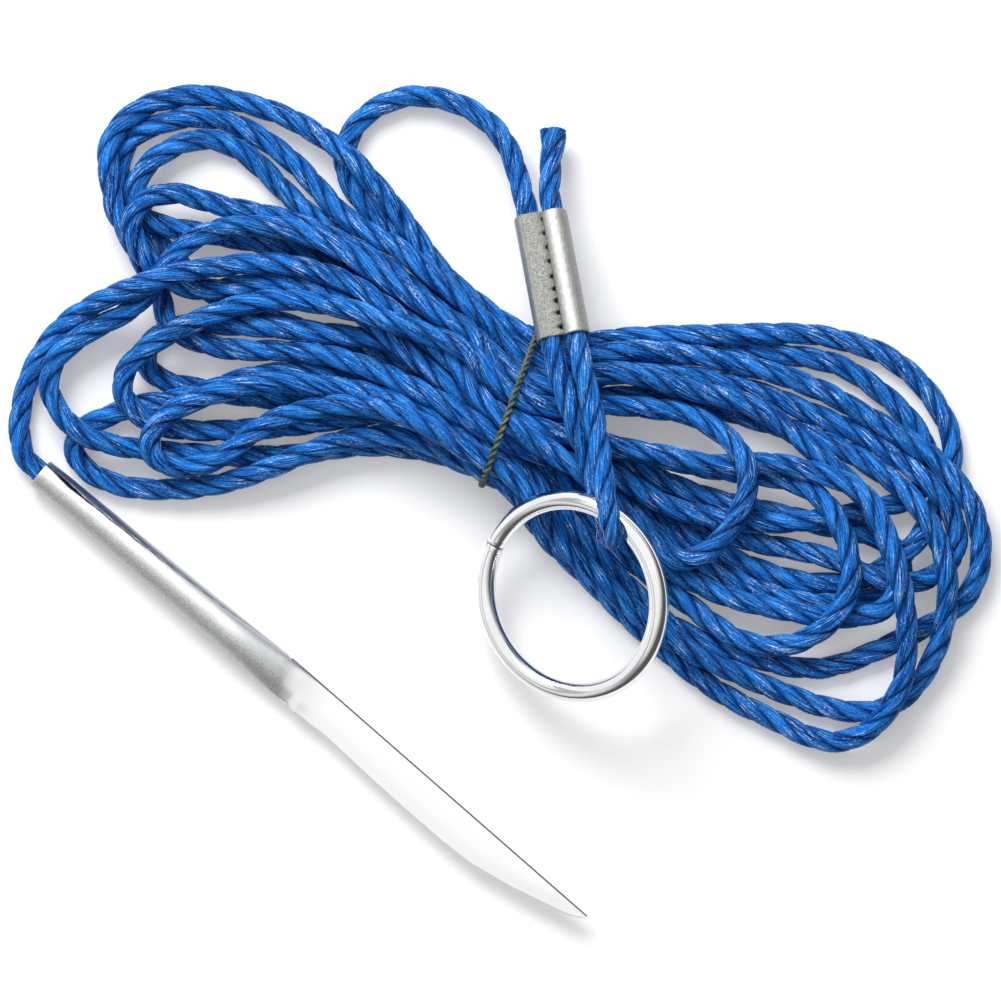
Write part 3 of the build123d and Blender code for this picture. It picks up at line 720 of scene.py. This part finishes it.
smooth = evenly(splinePoints(wholeRoute(), rope["detail"]), rope["step"])
smoothRun = lengths(smooth)
smoothSide, smoothUp = carriedFrame(smooth)
nearEnd = 200  # points at each end among which the cut is looked for
bowCut = cutAt(smooth[:nearEnd], bow["points"][-1])
leadCut = len(smooth) - nearEnd + cutAt(smooth[-nearEnd:], lead["points"][0])
print("rope laid,", round(smoothRun[-1]), "mm from the ferrule to the needle")


def ropePiece(name, first, last):
    part = slice(first, last + 1)
    made = strands(name, smooth[part], smoothSide[part], smoothUp[part], smoothRun[part])
    return made, smooth[part]


def ropeShade():
    shade = Shade("ropeFilament")
    fibre = shade.attribute("fibre")
    lie = shade.attribute("lie")
    crown = shade.axis(lie, "X")
    streak = shade.noise(fibre, (3.4, 3.4, 0.16), 3.0, 0.65)
    broad = shade.noise(fibre, (1.1, 1.1, 0.10), 2.0)
    fine = shade.noise(fibre, (8.5, 8.5, 0.34), 2.0, 0.6)
    tuft = shade.noise(lie, (0.7, 0.22, 1.0), 2.0)
    blue = shade.ramp(streak * 0.55 + broad * 0.45, 0.41, 0.60)
    colour = shade.mix(blue, rope["dark"], rope["light"])
    # painted highlight along the fine fibres
    colour = shade.mix(shade.ramp(fine, 0.51, 0.65) * 0.75, colour, rope["paintedHighlight"])
    # painted glints where the fine streaks and the tufts meet
    paintedGlint = shade.ramp(fine, 0.60, 0.66) * shade.ramp(tuft, 0.50, 0.60)
    colour = shade.mix(paintedGlint, colour, rope["paintedGlint"])
    # painted shade in the gaps between the filaments
    colour = shade.mix(shade.ramp(fine, 0.47, 0.36) * 0.4, colour, rope["filamentGapShade"])
    # painted shade on the inward sides of the plies, in the grooves between the strands
    colour = shade.mix(shade.ramp(crown + tuft * 0.4, 0.90, 0.05) * 0.72, colour, rope["groove"])
    rough = 0.42 - 0.16 * streak
    bump = shade.bump(streak * 0.6 + fine * 0.4, 1.0, 0.0004)
    return shade.finish(colour, rough, bump, specular=rope["specular"])


def dress(made, material, body=None, node=None):
    # the material, the body that carries the piece and the CAD node that it stands for
    made.data.materials.clear()
    made.data.materials.append(material)
    if body:
        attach(made, body)
    if node:
        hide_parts(node)


def declareCord(line, start):
    tuple(start * mm)
    [tuple(point * mm) for point in line]


ropeMaterial = ropeShade()
hankRope, hankLine = ropePiece("hankRope", bowCut, leadCut)
dress(hankRope, ropeMaterial, "hank", "rope_hank")
declareCord(hankLine, hankLine[0])

bowRope, bowLine = ropePiece("bowRope", 0, bowCut)
dress(bowRope, ropeMaterial)
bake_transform(bowRope)
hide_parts("rope_bow")
declareCord(bowLine, leftMouths[0])

leadRope, leadLine = ropePiece("leadRope", leadCut, len(smooth) - 1)
dress(leadRope, ropeMaterial)
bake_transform(leadRope)
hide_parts("rope_lead")
declareCord(leadLine, leadLine[0])
print("hank, bow and lead made,", round(lengths(hankLine)[-1]), "mm in the hank")

eyeSide, eyeUp = carriedFrame(eyeLine)
eyeRope = strands("eyeRope", eyeLine, eyeSide, eyeUp, eyeRun, eyePinch())
dress(eyeRope, ropeMaterial, "eye", "rope_eye")
declareCord(eyeLine, eyeLine[-1])

endLine = splinePoints(np.array([needleMouth + needleHeading * place for place in lead["grip"]]))
endRope = strands("endRope", endLine, *carriedFrame(endLine), smoothRun[-1] + lengths(endLine))
dress(endRope, ropeMaterial, "needle", "rope_end")
print("eye and end made")


def chromeShade():
    shade = Shade("ringChrome")
    place = shade.coordinate("Object")
    smear = shade.noise(place, 120.0, 3.0)
    scratch = shade.noise(place, (900.0, 260.0, 500.0), 4.0, 0.7)
    colour = shade.mix(shade.ramp(smear, 0.35, 0.7), ring["chrome"], ring["smear"])
    rough = 0.07 + 0.07 * smear + 0.06 * shade.ramp(scratch, 0.6, 0.75)
    bump = shade.bump(scratch, 0.06, 0.0001)
    return shade.finish(colour, rough, bump, metallic=1.0)


def makeRing():
    half = math.degrees(ring["jointGap"] / ring["radius"]) / 2
    degrees = np.linspace(ring["joint"] + half, ring["joint"] + 360.0 - half, ring["rings"])
    centres = ringCircle(degrees)
    outward = ((centres - np.array(ring["centre"])) / ring["radius"])[:, None]
    size = np.full(len(degrees), ring["wire"] / 2)
    size[[0, -1]] -= ring["cutEdge"]
    around = ringAngles(ring["sides"])[None, :, None]
    wrap = np.cos(around) * outward + np.sin(around) * np.array(ring["normal"])
    points = (centres[:, None] + wrap * size[:, None, None]).reshape(-1, 3)
    made = meshObject("ringWire", points, tubeFaces(0, len(degrees), ring["sides"]), ring["sharp"])
    dress(made, chromeShade(), "ring", "ring")


makeRing()
print("ring made")

# Ferrule: sheet steel rolled round two runs of rope, pressed flat over the left one
ferrule = {
    "length": 20.0,
    "sheet": 0.40,
    "radius": 1.96,  # to the middle of the sheet
    # middle of the sheet across the ferrule, from its lip; angles are first, end and step
    "lipEdge": [(0.0, 1.40), (-0.22, 1.60)],
    "pressed": [(-0.75, 1.70), (-1.4, 1.72), (-2.1, 1.74), (-2.75, 1.72), (-3.15, 1.52)],
    "leftTurn": (140, 271, 10),
    "bottom": [(-0.9, -1.93), (0.0, -1.84), (0.9, -1.93)],
    "rightTurn": (-90, 146, 9),
    "seam": [(0.20, 0.85), (0.10, 0.45), (0.05, 0.0), (0.05, -0.6)],
    "lip": 0.10,
    "lipWander": (-0.05, 0.03),
    "lipKnots": 40,
    "holes": 9,  # gaps in the seam, growing towards the ring
    "holeDepth": (0.30, 0.62),
    "holeHalf": 0.34,
    "holeStart": 1.6,
    "holeSpan": 17.4,
    "holeStray": 0.35,
    "dent": 0.05,
    "dentKnots": 15,
    "dented": (2, 6),  # points of the section that are dented
    "bevel": 0.10,  # depth and length of the worn edge at both mouths
    "bevelLength": 0.12,
    "rings": 240,
    "seed": 11,
    "sharp": 50.0,
    "steel": [(0.47, 0.48, 0.47), (0.27, 0.28, 0.27)],
    "stipple": [(0.15, 0.16, 0.14), (0.40, 0.41, 0.38)],  # on the pressed top
    "scratch": (0.80, 0.81, 0.79),
}
ferruleUp = np.array([-0.0623, 0.3363, 0.9398])


def barrel(middle, turn):
    angles = np.radians(np.arange(*turn))
    rim = np.column_stack([np.cos(angles), np.sin(angles)]) * ferrule["radius"]
    return [(middle + over, up) for over, up in rim]


def ferruleSection(lip):
    # from the toothed lip over the pressed top, round both barrels and into the seam
    line = [(lip + over, up) for over, up in ferrule["lipEdge"]] + ferrule["pressed"]
    line += barrel(-barrelOffset, ferrule["leftTurn"]) + ferrule["bottom"]
    line += barrel(barrelOffset, ferrule["rightTurn"]) + ferrule["seam"]
    return np.array(line)


def placed(section, place):
    # points of a section with their distance along the piece
    return np.column_stack([section, np.full(len(section), place)])


def knotted(places, knots, values):
    return np.interp(places, np.linspace(0.0, ferrule["length"], knots), values)


def makeFerrule():
    random = np.random.default_rng(ferrule["seed"])
    places = np.linspace(0.0, ferrule["length"], ferrule["rings"])
    knots = ferrule["lipKnots"]
    lips = ferrule["lip"] + knotted(places, knots, random.uniform(*ferrule["lipWander"], knots))
    gap = ferrule["holeSpan"] / (ferrule["holes"] - 1)
    for number, deep in enumerate(np.linspace(*ferrule["holeDepth"], ferrule["holes"])):
        stray = random.uniform(-ferrule["holeStray"], ferrule["holeStray"])
        middle = ferrule["holeStart"] + number * gap + stray
        lips -= deep * np.exp(-((places - middle) / ferrule["holeHalf"]) ** 4)
    knots = ferrule["dentKnots"]
    dents = knotted(places, knots, random.uniform(-ferrule["dent"], ferrule["dent"], knots))
    points, marks = [], []
    for place, lip, dent in zip(places, lips, dents):
        line = ferruleSection(lip)
        line[slice(*ferrule["dented"]), 1] += dent
        ahead = np.gradient(line, axis=0)
        normal = np.column_stack([-ahead[:, 1], ahead[:, 0]])
        normal /= np.linalg.norm(ahead, axis=1)[:, None]
        edge = min(place, ferrule["length"] - place)
        worn = ferrule["bevel"] * max(0.0, 1 - edge / ferrule["bevelLength"])
        thick = ferrule["sheet"] / 2 - worn
        section = np.vstack([line - normal * thick, (line + normal * thick)[::-1]])
        middle = upperMouth + ferruleHeading * place
        points.append(middle + section[:, :1] * ferruleSide + section[:, 1:] * ferruleUp)
        marks.append(placed(section, place))
    sides = len(points[0])
    faces = tubeFaces(0, len(points), sides, False, False)
    for first in (0, (len(points) - 1) * sides):  # the sheet's edges at the mouths
        for number in range(sides // 2 - 1):
            other = sides - 1 - number
            quad = tuple(first + corner for corner in (number, number + 1, other - 1, other))
            faces.append(quad if first == 0 else quad[::-1])
    made = meshObject("ferruleSleeve", np.concatenate(points), faces, ferrule["sharp"])
    addVectors(made, "sheet", np.concatenate(marks))
    dress(made, ferruleShade(), "eye", "ferrule")


def ferruleShade():
    shade = Shade("ferruleZinc")
    sheet = shade.attribute("sheet")
    over, up = shade.axis(sheet, "X"), shade.axis(sheet, "Y")
    left = shade.ramp(over, 0.36, 0.26) * shade.ramp(over, -3.05, -2.85)
    pressed = left * shade.ramp(up, 1.30, 1.50)
    grain = shade.noise(sheet, 5.5, 4.0, 0.72)
    fine = shade.noise(sheet, (9.0, 9.0, 1.6), 4.0, 0.65)
    scratch = shade.ramp(shade.noise(sheet, (1.5, 1.5, 9.0), 1.0), 0.70, 0.74)
    steel = shade.mix(shade.ramp(fine, 0.35, 0.65), *ferrule["steel"])
    stipple = shade.mix(shade.ramp(grain, 0.38, 0.62), *ferrule["stipple"])
    stipple = shade.mix(scratch * 0.6, stipple, ferrule["scratch"])
    colour = shade.mix(pressed, steel, stipple)
    rough = 0.46 + 0.16 * fine + pressed * 0.04
    bump = shade.bump(grain * pressed + fine * 0.35, 0.6, 0.0002)
    return shade.finish(colour, rough, bump, metallic=1.0)


makeFerrule()
print("ferrule made")

# Needle: a socket rolled from sheet, lapped along its upper side, running out into a flat blade
needle = {
    "length": 105.8,
    "mouthRadius": 2.35,
    "neckRadius": 3.05,
    "neck": 50.0,
    "boreRadius": 1.88,
    "boreRings": [(11.0, 0.97), (5.0, 1.0), (0.3, 1.0), (0.05, 1.02)],  # place and scale
    "boreGrain": 0.3,  # radius of the bore in the noise
    "mouthRings": {0.0: 0.94, 0.06: 0.985, 0.15: 1.0},
    "steps": [(0.4, 44.0, 0.4), (44.0, 60.0, 0.2), (60.0, 94.0, 0.5), (94.0, 105.8, 0.2)],
    "flattens": (37.0, 56.0),
    "narrows": (46.0, 50.0),
    "bladeHalf": 0.5,
    "bladeStart": 48.0,
    "bladeTurn": 0.020,  # slope of the spine away from the line of the socket
    "squareness": 0.45,
    "tipStart": 100.0,
    "tipThick": 0.6425,  # of the blade's thickness
    "grind": 0.55,  # part of the thickness that is ground off at the edge
    "grindWidth": 2.4,
    # distance from the mouth, and width of the blade below the spine
    "widths": [(49.0, 5.95), (50.7, 5.8), (52.2, 6.2), (54.4, 5.85), (58.5, 5.6), (66.0, 5.85),
               (74.4, 6.0), (82.0, 5.95), (87.2, 5.7), (94.5, 4.3), (99.4, 3.0), (103.0, 2.0),
               (105.0, 1.1), (105.8, 0.55)],
    # distance from the mouth, and angle of the lap round the socket
    "lapAngles": [(0.0, 48.0), (8.0, 58.0), (20.0, 51.0), (33.0, 40.0), (47.0, 18.0)],
    "lapEnds": (46.0, 48.5),
    "lapStep": 0.16,
    "lapFade": 0.9,
    "gapeAt": 4.6,  # where the lap gapes, and over which length
    "gapeLength": 2.6,
    "grooveDeep": (0.16, 0.5),  # along the lap, and more where it gapes
    "grooveWide": (0.030, 0.055),
    "shadowWide": (0.13, 0.30),
    "lapShown": 0.3,  # strength of the lap above which its line is drawn
    "spineShown": 47.0,
    "sides": 120,
    "sharp": 38.0,
    "steel": [(0.86, 0.87, 0.87), (0.74, 0.75, 0.76)],
    "speckleAndShade": [(0.26, 0.27, 0.27), (0.66, 0.67, 0.67)],  # speckled steel darkened as painted shade, on the low side of the socket
    "lapShadow": (0.20, 0.24, 0.34),
    "lapLine": (0.012, 0.016, 0.035),
    "bladeSteel": (0.95, 0.95, 0.95),
    "spineLine": (0.030, 0.034, 0.050),
}
needleSpine = np.array([0.6427, 0.7660, 0.0])
needleUp = np.cross(needleHeading, needleSpine)
unmarked = 40.0  # stands for a place far from the lap and the spine


def smoothStep(value, low, high):
    part = np.clip((value - low) / (high - low), 0.0, 1.0)
    return part * part * (3 - 2 * part)


def table(place, rows):
    places, values = zip(*rows)
    return np.interp(place, places, values)


def rounded(wave, power):
    return np.sign(wave) * np.abs(wave) ** power


def needleRing(place):
    # outline at a distance from the mouth, as (towards the spine, up), and marks for the colour
    angle = ringAngles(needle["sides"])
    neck = needle["neckRadius"]
    radius = table(place, [(0.0, needle["mouthRadius"]), (needle["neck"], neck)])
    flatten = smoothStep(place, *needle["flattens"])
    spine = neck - needle["bladeTurn"] * max(0.0, place - needle["bladeStart"])
    top = radius + (spine - radius) * flatten
    below = spine - table(place, needle["widths"])
    bottom = -radius + (below + radius) * smoothStep(place, *needle["narrows"])
    thick = radius + (needle["bladeHalf"] - radius) * flatten
    thick *= table(place, [(needle["tipStart"], 1.0), (needle["length"], needle["tipThick"])])
    power = 1.0 - needle["squareness"] * flatten
    over = (top + bottom) / 2 + rounded(np.cos(angle), power) * (top - bottom) / 2
    line = np.column_stack([over, rounded(np.sin(angle), power) * thick])
    # belly of the blade ground to an edge
    edge = 1 - smoothStep(line[:, 0] - bottom, 0.0, needle["grindWidth"])
    line[:, 1] *= 1 - needle["grind"] * flatten * edge
    # lap of the sheet: a groove with one side standing higher
    seam = math.radians(table(place, needle["lapAngles"]))
    away = (angle - seam + math.pi) % (2 * math.pi) - math.pi
    strength = 1 - smoothStep(place, *needle["lapEnds"])
    gape = math.exp(-((place - needle["gapeAt"]) / needle["gapeLength"]) ** 2)
    keys = ("grooveDeep", "grooveWide", "shadowWide")
    deep, wide, shadow = (needle[key][0] + needle[key][1] * gape for key in keys)
    groove = deep * np.exp(-(away / wide) ** 2)
    lap = needle["lapStep"] * (away > 0) * np.exp(-np.abs(away) / needle["lapFade"])
    size = np.linalg.norm(line, axis=1) + 1e-9
    line = line * (1 + strength * (lap - groove) / size)[:, None]
    # distance from the lap in widths of its shadow, and from the spine of the blade
    marks = np.full((len(away), 2), unmarked)
    if strength > needle["lapShown"]:
        marks[:, 0] = away * radius / shadow
    if place > needle["spineShown"]:
        marks[:, 1] = top - line[:, 0]
    return line, placed(marks, place)


def needlePoint(place, section):
    middle = needleMouth + needleHeading * place
    return middle + section[:, :1] * needleSpine + section[:, 1:] * needleUp


def makeNeedle():
    mouth = needle["mouthRings"]
    runs = [np.arange(*step) for step in needle["steps"]]
    places = np.concatenate([list(mouth), *runs, [needle["length"]]])
    angle = ringAngles(needle["sides"])
    bore = np.column_stack([np.cos(angle), np.sin(angle)])
    rings, marks, seams = [], [], []
    for place, scale in needle["boreRings"]:
        rings.append(needlePoint(place, bore * needle["boreRadius"] * scale))
        marks.append(placed(bore * needle["boreGrain"], place))
        seams.append(np.full((len(bore), 3), unmarked))
    for place in places:
        section, seam = needleRing(place)
        section = section * mouth.get(place, 1.0)
        rings.append(needlePoint(place, section))
        marks.append(placed(section, place))
        seams.append(seam)
    faces = tubeFaces(0, len(rings), needle["sides"])
    made = meshObject("needleSteel", np.concatenate(rings), faces, needle["sharp"])
    addVectors(made, "sheet", np.concatenate(marks))
    addVectors(made, "seam", np.concatenate(seams))
    dress(made, needleShade(), "needle", "needle")


def needleShade():
    shade = Shade("needleSatin")
    sheet = shade.attribute("sheet")
    over, far = shade.axis(sheet, "X"), shade.axis(sheet, "Z")
    seam = shade.attribute("seam")
    lap, spine = shade.axis(seam, "X"), shade.axis(seam, "Y")
    blade = shade.ramp(far + over * 0.5, 47.5, 49.5)
    # the low side of the socket gets painted shade: darker speckled steel
    low = shade.ramp(over, 1.7, -0.7) * (1 - blade)
    speckle = shade.noise(sheet, (6.5, 6.5, 4.0), 5.0, 0.75)
    drawn = shade.noise(sheet, (10.0, 10.0, 0.25), 3.0, 0.6)
    steel = shade.mix(shade.ramp(drawn, 0.35, 0.65), *needle["steel"])
    speckleAndShade = shade.mix(shade.ramp(speckle, 0.40, 0.60), *needle["speckleAndShade"])
    colour = shade.mix(low * 0.8, steel, speckleAndShade)
    under = shade.ramp(lap, 0.5, -1.5) * shade.ramp(lap, -16.0, -4.0)
    colour = shade.mix(under * 0.65, colour, needle["lapShadow"])
    colour = shade.mix(shade.ramp(lap * lap, 1.6, 0.4) * 0.95, colour, needle["lapLine"])
    colour = shade.mix(blade, colour, needle["bladeSteel"])
    colour = shade.mix(shade.ramp(spine, 0.30, 0.16) * 0.9, colour, needle["spineLine"])
    rough = 0.30 + 0.14 * speckle + low * 0.10 - blade * 0.08
    bump = shade.bump((speckle * 0.6 + drawn * 0.4) * (1 - blade * 0.85), 0.30, 0.0002)
    return shade.finish(colour, rough, bump, metallic=1.0)


makeNeedle()
print("needle made")

# Tie: two-ply twine drawn tight round the waist of the hank
tie = {
    "plyWide": 0.30,
    "plyHigh": 0.30,
    "plyOffset": 0.27,
    "plyApart": 5.0,
    "lay": 2.6,
    "step": 0.3,
    "sides": 8,
    "bite": 0.35,  # how far the twine presses into the rope
    "outlineStep": 2.0,
    "outlineSides": 24,
    "waistReach": 20.0,  # half of the width in which rope counts as passing the waist
    "dark": (0.028, 0.040, 0.026),
    "light": (0.21, 0.24, 0.17),
    "stain": (0.035, 0.085, 0.040),
}


def waistCrossings():
    # where the settled rope passes the plane of the tie, as (across, up)
    ahead = (smooth[:, :2] - waist) @ along
    found = []
    for number in np.nonzero(np.sign(ahead[1:]) != np.sign(ahead[:-1]))[0]:
        place = (smooth[number, :2] - waist) @ across
        if abs(place) < tie["waistReach"]:
            found.append((place, smooth[number, 2]))
    return np.array(found)


def hull(points):
    points = sorted(map(tuple, points))

    def turn(first, second, third):
        return np.cross(np.subtract(second, first), np.subtract(third, second))

    def half(row):
        kept = []
        for point in row:
            while len(kept) > 1 and turn(kept[-2], kept[-1], point) <= 0:
                kept.pop()
            kept.append(point)
        return kept[:-1]

    return np.array(half(points) + half(points[::-1]))


def makeTie():
    around = ringAngles(tie["outlineSides"])
    thick = tie["plyHigh"] + tie["plyOffset"]
    circle = (ropeRadius - tie["bite"] + thick) * np.column_stack([np.cos(around), np.sin(around)])
    outline = hull(np.concatenate([place + circle for place in waistCrossings()]))
    outline[:, 1] = np.maximum(outline[:, 1], thick)
    outline = np.roll(outline, -int(np.argmin(outline[:, 1])), axis=0)
    outline = np.vstack([outline, outline[:1]])
    line = np.column_stack([waist + outline[:, :1] * across, outline[:, 1]])
    line = evenly(splinePoints(evenly(line, tie["outlineStep"])), tie["step"])
    sizes = np.ones((2, len(line)))
    points, fibre, _, faces = twist(line, *carriedFrame(line), lengths(line), tie, sizes[0], sizes)
    made = meshObject("tieTwine", points, faces)
    addVectors(made, "fibre", fibre)
    dress(made, tieShade(), "hank", "hank_tie")


def tieShade():
    shade = Shade("tieTwist")
    fibre = shade.attribute("fibre")
    hair = shade.noise(fibre, (6.0, 6.0, 0.8), 3.0, 0.6)
    patch = shade.noise(fibre, (0.5, 0.5, 0.22), 2.0)
    colour = shade.mix(shade.ramp(hair, 0.35, 0.65), tie["dark"], tie["light"])
    colour = shade.mix(shade.ramp(patch, 0.5, 0.62), colour, tie["stain"])
    bump = shade.bump(hair, 0.5, 0.0001)
    return shade.finish(colour, 0.6 - 0.15 * hair, bump)


makeTie()
print("tie made")

# Stray filaments: broken fibres standing off the rope, most of them where it is worn
strays = {
    "radius": 0.045,
    "length": (1.2, 4.0),
    "points": 6,
    "sides": 3,
    "rootDepth": 0.2,
    "lean": (0.15, 0.5),
    "scatter": 0.18,
    "droop": 0.3,
    "taper": 0.6,
    "hankCount": 150,
    "wornPlaces": [(-53.6, 8.6), (-48.0, 40.5), (-50.0, 36.0), (58.0, -6.0)],
    "wornReach": 5.0,
    "wornCount": 18,
    "bightCount": 60,
    "bightBelow": 1.5,
    "tailCount": 45,
    "tailPoints": 3,  # first points of the eye from which these stand out
    "tailLean": (0.1, 0.5),
    "tailLength": 0.45,  # of the length of the others
    "cutMargin": 10,  # points next to the cuts of the hank that have none
    "seed": 21,
    "dark": (0.03, 0.22, 0.75),
    "light": (0.50, 0.66, 0.95),
}


def strayShade():
    shade = Shade("strayFibre")
    spread = shade.noise(shade.coordinate("Object"), 400.0, 2.0)
    colour = shade.mix(shade.ramp(spread, 0.4, 0.6), strays["dark"], strays["light"])
    return shade.finish(colour, 0.3 + 0.2 * spread)


def makeStrays(name, line, sideways, upward, picks, body, material, beyond=0):
    # picks are places on the line; the last ones, as many as beyond, stand out of its cut end
    random = np.random.default_rng(len(picks))
    tangent = tangents(line)
    count, sides = strays["points"], strays["sides"]
    reach = np.linspace(0.0, 1.0, count)[:, None]
    size = strays["radius"] * (1 - strays["taper"] * reach)
    around = ringAngles(sides)[:, None]
    points, faces = [], []
    for number, pick in enumerate(picks):
        angle = random.uniform(0.0, 2 * math.pi)
        outward = math.cos(angle) * sideways[pick] + math.sin(angle) * upward[pick]
        length = random.uniform(*strays["length"])
        ahead = tangent[pick] * random.choice((-1.0, 1.0))
        ahead = ahead + outward * random.uniform(*strays["lean"])
        root = outward * (ropeRadius - strays["rootDepth"])
        if number >= len(picks) - beyond:
            ahead = -tangent[pick] + outward * random.uniform(*strays["tailLean"])
            length *= strays["tailLength"]
            root = outward * random.uniform(strays["rootDepth"], ropeRadius)
        elif outward[2] < 0:
            outward, root = -outward, -root
        heading = ahead + random.normal(0.0, strays["scatter"], 3)
        fall = outward * strays["droop"] * length * reach ** 2
        path = line[pick] + root + heading * length * reach - fall
        one = np.cross(ahead, outward)
        one /= np.linalg.norm(one)
        two = np.cross(one, ahead) / np.linalg.norm(ahead)
        wrap = np.cos(around) * one + np.sin(around) * two
        faces += tubeFaces(len(points) * count * sides, count, sides)
        points.append((path[:, None] + wrap[None] * size[:, None]).reshape(-1, 3))
    made = meshObject(name, np.concatenate(points), faces)
    dress(made, material, body)


def strayPicks():
    random = np.random.default_rng(strays["seed"])
    first, last = bowCut + strays["cutMargin"], leadCut - strays["cutMargin"]
    onHank = list(random.integers(first, last, strays["hankCount"]))
    for place in strays["wornPlaces"]:
        near = np.nonzero(np.linalg.norm(smooth[:, :2] - place, axis=1) < strays["wornReach"])[0]
        near = near[(near > first) & (near < last)]
        onHank += list(random.choice(near, strays["wornCount"]))
    bight = np.nonzero(eyeLine[:, 1] < strays["bightBelow"])[0]
    onEye = list(random.choice(bight, strays["bightCount"]))
    onEye += list(random.integers(0, strays["tailPoints"], strays["tailCount"]))
    return onHank, onEye


strayMaterial = strayShade()
onHank, onEye = strayPicks()
makeStrays("hankStrays", smooth, smoothSide, smoothUp, onHank, "hank", strayMaterial)
makeStrays("eyeStrays", eyeLine, eyeSide, eyeUp, onEye, "eye", strayMaterial, strays["tailCount"])
print("stray filaments made")

# Floor, lights and world
studio = {
    "floorHalf": 3000.0,
    "floorColour": (0.93, 0.93, 0.93),
    "floorGlow": 0.25,  # part of the floor's white that shadow does not reach
    "skyLow": 0.10,
    "skyHigh": 0.62,
    "skyTop": 1.0,  # straight overhead, and wherever metal mirrors the bright part
    "skySlope": 0.95,
    "skyRise": (0.05, 0.70),
    "brightSide": (-0.60, 0.62, 0.0),
    "band": 0.6,  # depth, lower and upper edge of a darker band
    "bandLow": (0.48, 0.53),
    "bandHigh": (0.66, 0.60),
    "topRise": (0.78, 0.88),
    "keyPlace": (-0.30, 0.72, 0.80),
    "keySize": (0.6, 0.5),
    "keyPower": 13.0,
}
white = (1.0, 1.0, 1.0, 1.0)


def makeFloor():
    half = studio["floorHalf"]
    corners = [(-half, -half, 0), (half, -half, 0), (half, half, 0), (-half, half, 0)]
    made = meshObject("floor", corners, [(0, 1, 2, 3)], smooth=False)
    shade = Shade("floorPaper")
    seen = shade.ray("Is Camera Ray") + shade.ray("Is Glossy Ray")
    paper = shade.node("BsdfDiffuse", {}, {"Color": (*studio["floorColour"], 1.0)})
    glow = shade.node("Emission", {}, {"Color": white, "Strength": 1.0})
    surface = shade.node("MixShader", {}, {0: seen * studio["floorGlow"], 1: paper, 2: glow})
    shade.node("OutputMaterial", {}, {"Surface": surface})
    made.data.materials.append(shade.material)


def makeWorld():
    # bright overhead and on one side, dark low on the other, so that metal shows dark lines
    world = bpy.data.worlds.new("studio")
    world.use_nodes = True
    bpy.context.scene.world = world
    shade = Shade("studio", world.node_tree)
    low, high, top = studio["skyLow"], studio["skyHigh"], studio["skyTop"]
    seen, glossy = shade.ray("Is Camera Ray"), shade.ray("Is Glossy Ray")
    direction = shade.coordinate("Generated")
    height = shade.axis(direction, "Z")
    toSide = {0: direction, 1: studio["brightSide"]}
    side = shade.node("VectorMath", {"operation": "DOT_PRODUCT"}, toSide, "Value")
    level = shade.ramp(height * studio["skySlope"] + side * studio["skySlope"], *studio["skyRise"])
    band = shade.ramp(height, *studio["bandLow"]) * shade.ramp(height, *studio["bandHigh"])
    level = level * (1 - studio["band"] * band)
    bright = high + glossy * (top - high)
    overhead = shade.ramp(height, *studio["topRise"])
    strength = low + level * (bright - low) + overhead * (top - bright)
    strength = seen + (1 - seen) * strength
    background = shade.node("Background", {}, {"Color": white, "Strength": strength})
    shade.node("OutputWorld", {}, {"Surface": background})


def makeLamp(name, place, size, power):
    data = bpy.data.lights.new(name, "AREA")
    data.shape = "RECTANGLE"
    data.size, data.size_y = size
    data.energy = power
    lamp = bpy.data.objects.new(name, data)
    lamp.location = place
    lamp.rotation_mode = "QUATERNION"
    lamp.rotation_quaternion = Vector(place).to_track_quat("Z", "Y")
    bpy.context.scene.collection.objects.link(lamp)


makeFloor()
makeWorld()
makeLamp("keySoftbox", studio["keyPlace"], studio["keySize"], studio["keyPower"])
print("stage lit")
